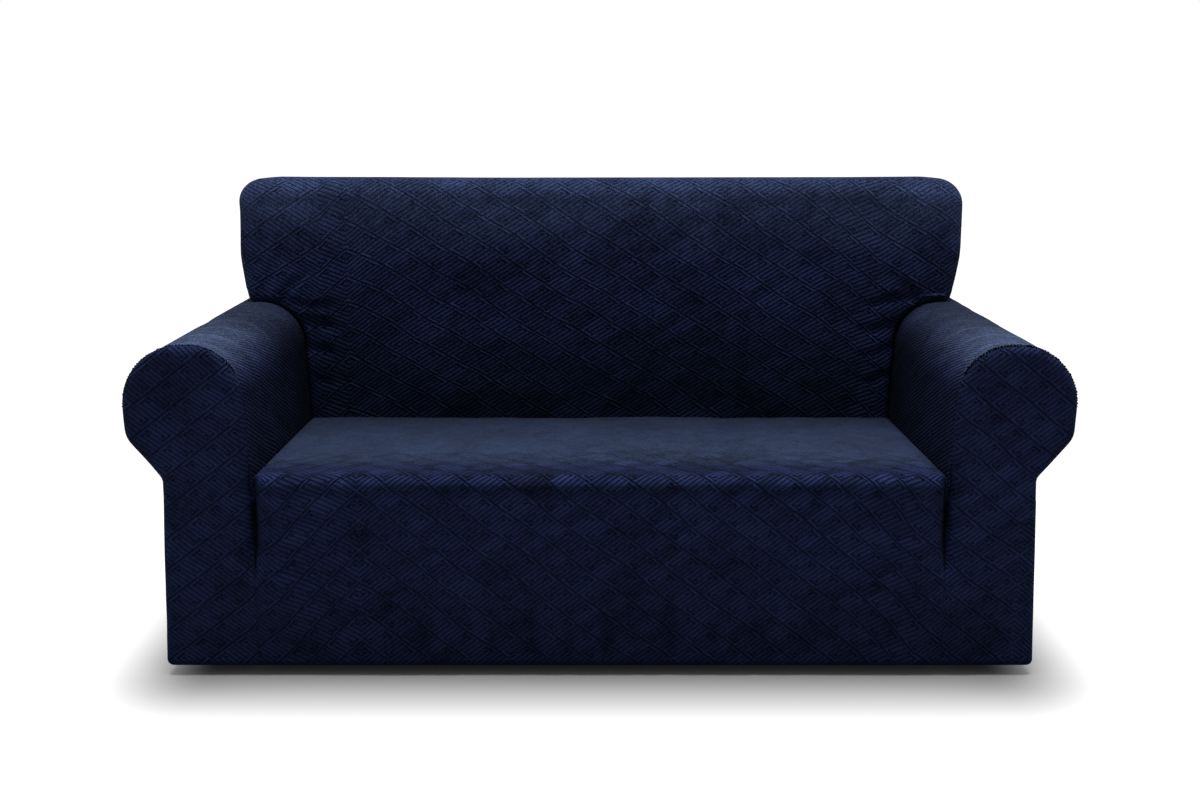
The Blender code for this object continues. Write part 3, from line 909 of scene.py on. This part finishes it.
# %% A socket in an expression
class Wire:
    """A node's output. Operators add Math nodes, and node() adds any other node."""

    def __init__(self, tree, socket=None):
        self.tree, self.socket = tree, socket

    def node(self, kind, settings=None, values=None, output=0):
        made = self.tree.nodes.new(kind)
        for name, value in (settings or {}).items():
            setattr(made, name, value)
        for key, value in (values or {}).items():
            if isinstance(value, Wire):
                self.tree.links.new(value.socket, made.inputs[key])
            else:
                made.inputs[key].default_value = value
        return Wire(self.tree, made.outputs[output])

    def math(self, operation, *others):
        return self.node("ShaderNodeMath", {"operation": operation}, dict(enumerate((self, *others))))

    def __add__(self, other):
        return self.math("ADD", other)

    def __sub__(self, other):
        return self.math("SUBTRACT", other)

    def __rsub__(self, other):
        return self.node("ShaderNodeMath", {"operation": "SUBTRACT"}, {0: other, 1: self})

    def __mul__(self, other):
        return self.math("MULTIPLY", other)

    def __truediv__(self, other):
        return self.math("DIVIDE", other)

    def __gt__(self, other):
        return self.math("GREATER_THAN", other)

    def __abs__(self):
        return self.math("ABSOLUTE")

    __radd__ = __add__
    __rmul__ = __mul__

    def step(self, low, high):
        """0 at low and 1 at high with a smooth step between them. low may be the larger."""
        settings = {"interpolation_type": "SMOOTHSTEP"}
        return self.node("ShaderNodeMapRange", settings, {"Value": self, "From Min": low, "From Max": high})

    def is_near(self, number):
        return self.math("COMPARE", number, 0.5)


# %% [markdown]
# ## The woven key pattern
# The jacquard repeats a small key figure on a lattice of rhombs. Long grooves run down to the right, and
# between them short grooves hatch up to the right and turn back on themselves. One repeat is six ribs
# wide each way and looks the same after half a turn, so half of it is charted. Left of a turning line
# the cloth is mirrored, as where two pieces are matched in a chevron.

# %% Key pattern
RIBS = 6
GROOVE_WIDTH = 0.30  # half of it, in ribs
CHART = (
    # column of the hatch, first and last row of its groove
    (1, 1.0, 6.5),
    (2, 1.3, 6.5),
    (3, 0.5, 5.6),
)
HOOKS = (
    # row of the hook, from column, to column
    (1.0, 1.0, 3.0),
    (1.8, 2.0, 2.5),
)
PLAIN_CHART = ((1, 0.0, 6.5), (2, 0.0, 6.5), (3, 0.0, 6.5))  # hatch only, where the cloth is drawn narrow
MOST_PULL = 0.2  # metres past which the pull grows no more


def lattice(across, along, turning, pull_from=10.0, pull=0.0, fold=None):
    """A function that turns a place on the cloth into rows and columns of its rhombs.

    across and along say how many rhombs there are to a metre, each for u and for v. The cloth is mirrored
    at turning, pulled out of line beyond pull_from, and mirrored past the side of fold up to its top.
    """
    def rows_and_columns(u, v):
        reach = (abs(u) - pull_from).math("MAXIMUM", 0.0).math("MINIMUM", MOST_PULL)
        v = v + pull * reach * reach
        u = abs(u - turning) + turning
        if fold is not None:
            side, top = fold
            outside = (abs(u) - side) * (abs(u) > side) * v.step(top + 0.01, top)
            u = u - 2 * outside * u.math("SIGN")
        return across[0] * u + across[1] * v, along[0] * u + along[1] * v
    return rows_and_columns


def key_pattern(across, along, hatch, long, chart, hooks, hook):
    """Height of the cloth, 1 on the ribs and 0 in the grooves, and how far a place is on a long line.

    hatch and long say how deep the short and the long grooves are, and hook how deep a hook is to a hatch.
    """
    groove = GROOVE_WIDTH
    across = across.math("FRACT") * RIBS
    along = along.math("FRACT") * RIBS
    half_turn = along > RIBS / 2
    across = across + half_turn * (RIBS - 2 * across)
    along = along + half_turn * (RIBS - 2 * along)
    column = along.math("ROUND")
    from_hatch = abs(along - column)
    seen = column.is_near(0)
    for number, first, last in chart:
        inside = across.step(first - 0.2, first + 0.1) * across.step(last + 0.2, last - 0.1)
        seen = seen + column.is_near(number) * inside
    height = 1 - hatch * seen * from_hatch.step(groove, 0.2 * groove)
    for row, first, last in hooks:
        inside = along.step(first - 0.25, first) * along.step(last + 0.2, last - 0.1)
        height = height - hook * hatch * inside * abs(across - row).step(groove, 0.2 * groove)
    from_long = across.math("MINIMUM", RIBS - across)
    height = height * (1 - long * from_long.step(0.75 * groove, 0.1 * groove))
    cord = abs(from_long - 1.6 * groove).step(0.9 * groove, 0.0)
    dots = from_long.step(0.28, 0.16) * abs((along * 0.5).math("FRACT") - 0.5).step(0.30, 0.16)
    return height + 0.4 * long * cord, from_long.step(0.85, 0.25) + 0.7 * dots


# The groove colour is darker partly for its yarn and partly as painted shade in the grooves.
RIB, GROOVE_YARN_AND_SHADE = (0.0055, 0.0087, 0.0285, 1.0), (0.0014, 0.0025, 0.0090, 1.0)  # linear colours
WANDER_SIZE, WANDER_ACROSS, WANDER_UP = 0.17, 0.016, 0.012  # metres by which the lattice strays
CLOUD_SIZE, PATCH_SIZE, FLECK_SIZE, KNIT_SIZE = 0.16, 0.028, 0.0085, 0.0034


def jacquard(name, rhombs, flat, hatch, relief, grain, cloudy, long=0.85, chart=CHART, hooks=HOOKS,
             hook=0.85, lines=0.0, sheen=0.010):
    """Navy stretch jacquard: ribs and grooves, fine knit, and soft clouds of tone.

    flat is the colour of the cloth where it is stretched flat, lighter partly for the yarn's paler core and
    partly as painted light, and relief the height of a rib in metres.
    grain, cloudy and lines say how much the knit, the clouds and the long stretched lines change the tone;
    the lines lighten it partly as a painted highlight on their cords.
    """
    material = bpy.data.materials.new(name)
    material.use_nodes = True
    tree = material.node_tree
    shader = tree.nodes["Principled BSDF"]
    place = Wire(tree).node("ShaderNodeUVMap", {"uv_map": "UVMap"})

    def noise(size, detail=1.0, roughness=0.5):
        return place.node("ShaderNodeTexNoise", {"noise_dimensions": "2D"},
                          {"Vector": place, "Scale": 1 / size, "Detail": detail, "Roughness": roughness})

    def mixed(share, low, high):
        return place.node("ShaderNodeMix", {"data_type": "RGBA"}, {"Factor": share, 6: low, 7: high}, 2)

    parts = place.node("ShaderNodeSeparateXYZ", None, {"Vector": place})
    u, v = parts, Wire(tree, parts.socket.node.outputs["Y"])
    wander = noise(WANDER_SIZE) - 0.5
    across, along = rhombs(u + wander * WANDER_ACROSS, v + wander * WANDER_UP)
    ribs, on_line = key_pattern(across, along, hatch, long, chart, hooks, hook)
    # The second attribute mixes in the yarn's paler core together with painted light, and the third is
    # painted light and shade.
    strength, pale_with_painted_light, light = (
        place.node("ShaderNodeAttribute", {"attribute_name": name}, None, "Fac")
        for name in ("pattern", "pale_with_painted_light", "light")
    )
    block = place.node("ShaderNodeCombineXYZ", None,
                       {"X": across.math("FLOOR"), "Y": (along * 2.0).math("FLOOR")})
    block = place.node("ShaderNodeTexWhiteNoise", {"noise_dimensions": "2D"}, {"Vector": block}, "Value")
    clouds = noise(CLOUD_SIZE, 3.0, 0.6)
    patches = noise(PATCH_SIZE, 2.0, 0.6)
    knit = noise(KNIT_SIZE, 2.0, 0.7)
    tone = mixed(ribs.math("MINIMUM", 1.0), GROOVE_YARN_AND_SHADE, RIB)
    tone = mixed(pale_with_painted_light * 0.94, tone, (*flat, 1.0))
    flecks = noise(FLECK_SIZE) - 0.5
    shade = 0.79 + cloudy * (1.1 * (clouds - 0.5) + 0.8 * (patches - 0.5)) + 0.40 * (block - 0.2) * strength
    grain = grain * (1 + 0.25 * pale_with_painted_light)
    # The long lines and dots of the pattern are lightened where the cloth is stretched flat, partly as a
    # painted highlight on their cords.
    shade = shade + 2.6 * grain * flecks + 6.0 * grain * (knit - 0.5) + lines * on_line * pale_with_painted_light
    # The light attribute scales the colour as painted light and shade.
    shade = shade.math("MAXIMUM", 0.15) * light
    tone = place.node("ShaderNodeVectorMath", {"operation": "SCALE"}, {"Vector": tone, "Scale": shade})
    tree.links.new(tone.socket, shader.inputs["Base Color"])
    height = ribs * strength + grain * knit
    bump = place.node("ShaderNodeBump", None, {"Height": height, "Strength": 1.0, "Distance": relief})
    tree.links.new(bump.socket, shader.inputs["Normal"])
    for setting, value in (("Roughness", 0.85), ("Specular IOR Level", 0.02), ("Sheen Weight", sheen),
                           ("Sheen Roughness", 0.30), ("Sheen Tint", (0.72, 0.88, 1.0, 1.0))):
        shader.inputs[setting].default_value = value
    print(name, len(tree.nodes), "nodes")
    return material


FRONT_RHOMB = (0.0385, 0.0292)  # half the width and half the height
BACK_RHOMB = (0.0484, 0.0294)


def upright(half_width, half_rise):
    """Rhombs to a metre across and along, for a lattice that stands upright."""
    return (0.5 / half_width, 0.5 / half_rise), (0.5 / half_width, -0.5 / half_rise)


front_jacquard = jacquard(
    "front_jacquard",
    lattice(*upright(*FRONT_RHOMB), turning=-0.455, pull_from=0.40, pull=1.0, fold=(0.8035, 0.33)),
    (0.0092, 0.0139, 0.0290), hatch=0.66, relief=0.0040, grain=0.20, cloudy=0.55, hook=1.15,
)
arm_jacquard = jacquard(
    "arm_jacquard", lattice((11.0, -1.5), (-8.6, 19.0), turning=0.0), (0.0150, 0.0212, 0.0410),
    hatch=0.95, relief=0.0046, grain=0.26, cloudy=0.7,
    long=0.40, chart=PLAIN_CHART, hooks=(), lines=0.22, sheen=0.004,
)
back_jacquard = jacquard(
    "back_jacquard", lattice(*upright(*BACK_RHOMB), turning=-0.560, pull_from=0.42, pull=0.7),
    (0.0150, 0.0225, 0.0520), hatch=0.95, relief=0.0060, grain=0.26, cloudy=0.85,
)
materials = (front_jacquard, arm_jacquard, arm_jacquard, back_jacquard, back_jacquard)
for panel, material in zip(cloths.values(), materials):
    panel.data.materials.clear()
    panel.data.materials.append(material)

# %% [markdown]
# ## Gathered seams
# The arm's cloth is eased on to its front. Over the roll the seam shows as a ragged line of beads, painted
# black as shade, with a row of tiny gathers just behind it, lightened as a painted highlight. Geometry Nodes
# set one small bead of cloth after another along each of the two rows, every bead with its own size and turn,
# and the rows are kept as plain meshes.

# %% Gathers along the seams of the arms
GATHER_STEP = 0.0058
GATHER_SEED = 11
GATHER = (0.0036, 0.0090, 0.0034)  # along the seam, across it and out of the cloth
SEAM_ROWS = (
    # name, place behind the seam, height over the cloth, painted light level
    ("seam_shade_beads", -0.0005, 0.0009, 0.0),
    ("gathers", 0.0060, 0.0004, 1.6),
)
GATHERED_INSIDE, GATHERED_OUTSIDE = 0.050, 0.115  # how far the rows run down the roll from its top


def gather_tree(material):
    """Node group that runs a row of small beads along the edges it is given."""
    tree = bpy.data.node_groups.new("gathers", "GeometryNodeTree")
    _, step, seed = (
        tree.interface.new_socket(name, in_out="INPUT", socket_type="NodeSocket" + kind)
        for name, kind in (("Geometry", "Geometry"), ("Step", "Float"), ("Seed", "Int"))
    )
    tree.interface.new_socket("Geometry", in_out="OUTPUT", socket_type="NodeSocketGeometry")
    source, result = tree.nodes.new("NodeGroupInput"), tree.nodes.new("NodeGroupOutput")
    line, spacing, draw = (Wire(tree, socket) for socket in source.outputs[:3])
    run = line.node("GeometryNodeMeshToCurve", None, {"Mesh": line})
    run = run.node("GeometryNodeResampleCurve", {"mode": "LENGTH"}, {"Curve": run, "Length": spacing})
    way = run.node("GeometryNodeInputTangent")
    turn = run.node("FunctionNodeAlignRotationToVector", {"axis": "X"}, {"Vector": way})
    out = run.node("GeometryNodeInputNamedAttribute", {"data_type": "FLOAT_VECTOR"}, {"Name": "out"})
    turn = run.node("FunctionNodeAlignRotationToVector", {"axis": "Z", "pivot_axis": "X"},
                    {"Rotation": turn, "Vector": out})
    yaw = run.node("FunctionNodeRandomValue", {"data_type": "FLOAT"}, {2: -0.6, 3: 0.6, "Seed": draw}, 1)
    yaw = yaw.node("ShaderNodeCombineXYZ", None, {"Z": yaw})
    turn = turn.node("FunctionNodeRotateRotation", {"rotation_space": "LOCAL"},
                     {"Rotation": turn, "Rotate By": yaw})
    size = run.node("FunctionNodeRandomValue", {"data_type": "FLOAT_VECTOR"},
                    {0: (0.6, 0.6, 0.6), 1: (1.3, 1.5, 1.4), "Seed": draw}, 0)
    bead = run.node("GeometryNodeMeshUVSphere", None, {"Segments": 8, "Rings": 6, "Radius": 0.5})
    bead = bead.node("GeometryNodeTransform", None, {"Geometry": bead, "Scale": GATHER})
    beads = run.node("GeometryNodeInstanceOnPoints", None,
                     {"Points": run, "Instance": bead, "Rotation": turn, "Scale": size})
    beads = beads.node("GeometryNodeRealizeInstances", None, {"Geometry": beads})
    beads = beads.node("GeometryNodeSetMaterial", None, {"Geometry": beads, "Material": material})
    tree.links.new(beads.socket, result.inputs[0])
    return tree, step.identifier, seed.identifier


def gathered(name, run, out, gathers, seed):
    """A row of gathers along the points of run, raised along out, as a finished plain mesh."""
    tree, step_input, seed_input = gathers
    data = bpy.data.meshes.new(name)
    data.from_pydata(run.tolist(), [(i, i + 1) for i in range(len(run) - 1)], [])
    layer = data.attributes.new("out", "FLOAT_VECTOR", "POINT")
    layer.data.foreach_set("vector", out.astype(np.float32).ravel())
    row = in_scene(name, data)
    nodes = row.modifiers.new("gathers", "NODES")
    nodes.node_group = tree
    nodes[step_input] = GATHER_STEP
    nodes[seed_input] = seed
    made_plain(row)
    return row


gathers = gather_tree(arm_jacquard)
seam_rows = []
seam_line = evenly(rounded(ARM_SECTION), 0.004)
seam_out = normals(seam_line)
reach = np.where(seam_line[:, 0] > 0.80, GATHERED_OUTSIDE, GATHERED_INSIDE)
on_roll = seam_line[:, 1] > ARM_TOP - reach
seam_line, seam_out = seam_line[on_roll], seam_out[on_roll]
for side, hand in ((-1, "left"), (1, "right")):
    out = in_room(seam_out * (side, 1), 0.0)
    for name, behind, lift, painted_light_level in SEAM_ROWS:
        run = in_room(seam_line * (side, 1), FRONT + ROUNDING + behind)
        row = gathered(f"arm_{name}_{hand}", run + lift * out, out, gathers, GATHER_SEED + side)
        # Painted shade makes the seam's beads black, and a painted highlight lightens the gathers behind it.
        stored(row, "light", painted_light_level)
        stored(row, "pale_with_painted_light", 1.0)
        seam_rows.append(row)

# %% [markdown]
# ## Studio
# One large soft light hangs over the sofa, so the seat and the tops of the arms are light and the upright
# faces stay dark. A white room around it gives the fill. The floor is white paper, which glows more and more
# with its distance from the cover, so it runs out into white; the short soft shadow around the cover is
# painted, as the part of the floor where the glow is left out.

# %% Floor
FLOOR_GAP = 0.018
FLOOR_SIZE = 60.0
PAPER = 0.12  # how much light the paper gives back
# The corner below bounds the painted shadow, in which the paper doesn't glow.
SHADOW_CORNER = (0.74, 0.42, 0.0)  # corner of the area in which the paper doesn't glow
GLOW_RANGE = (0.005, 0.32)  # metres from there at which the glow starts and is full
SURROUND = 0.80  # brightness of the white room, which itself shows as pure white
floor_mesh = bpy.data.meshes.new("floor")
floor_grid = bmesh.new()
bmesh.ops.create_grid(floor_grid, x_segments=1, y_segments=1, size=FLOOR_SIZE / 2)
bmesh.ops.translate(floor_grid, verts=floor_grid.verts, vec=(0.0, 0.0, HEM - FLOOR_GAP))
floor_grid.to_mesh(floor_mesh)
floor_grid.free()
floor = in_scene("floor", floor_mesh)

paper = bpy.data.materials.new("white_paper")
paper.use_nodes = True
paper_shader = paper.node_tree.nodes["Principled BSDF"]
spot = Wire(paper.node_tree).node("ShaderNodeTexCoord", None, None, "Object")
for operation, other in (("ABSOLUTE", None), ("SUBTRACT", SHADOW_CORNER), ("MAXIMUM", (0.0, 0.0, 0.0))):
    inputs = {0: spot, 1: other} if other else {0: spot}
    spot = spot.node("ShaderNodeVectorMath", {"operation": operation}, inputs)
away = spot.node("ShaderNodeVectorMath", {"operation": "LENGTH"}, {0: spot}, "Value")
# Painted light and shadow: the glow lifts the paper to white away from the cover and leaves a painted soft
# shadow near it.
glow = away.step(*GLOW_RANGE)
glow = glow.node("ShaderNodeCombineColor", None, {"Red": glow, "Green": glow, "Blue": glow})
paper.node_tree.links.new(glow.socket, paper_shader.inputs["Emission Color"])
for setting, value in (("Base Color", (*[PAPER] * 3, 1.0)), ("Roughness", 1.0), ("Specular IOR Level", 0.0),
                       ("Emission Strength", 1.0)):
    paper_shader.inputs[setting].default_value = value
floor_mesh.materials.append(paper)

# %% [markdown]
# ## White room and overhead light
# The room shows as pure white, and the light it gives is a little less than that. The one overhead light
# is wide and close to parallel, so the folds under the arms stay dark without hard edges.

# %% Room and light
world = bpy.data.worlds.new("studio")
bpy.context.scene.world = world
world.use_nodes = True
seen = Wire(world.node_tree).node("ShaderNodeLightPath", None, None, "Is Camera Ray")
strength = SURROUND + (1.0 - SURROUND) * seen
background = world.node_tree.nodes["Background"]
background.inputs["Color"].default_value = (1.0, 1.0, 1.0, 1.0)
world.node_tree.links.new(strength.socket, background.inputs["Strength"])

light = bpy.data.lights.new("overhead", "AREA")
light.shape = "RECTANGLE"
light.size, light.size_y = 3.2, 1.6
light.energy = 45.0
light.spread = math.radians(36)
in_scene("overhead", light).location = (0.0, -0.30, 2.6)
bpy.context.scene.view_settings.view_transform = "Standard"
print("overhead light of", light.energy, "W over", round(light.size * light.size_y, 2), "square metres")

# %% [markdown]
# ## Joining the frame
# Each cloth takes the place of its own solid, and nothing moves.

# %% Join the frame
for row in seam_rows:
    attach(row, "root")
for node, panel in cloths.items():
    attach(panel, "root")
    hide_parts(node)
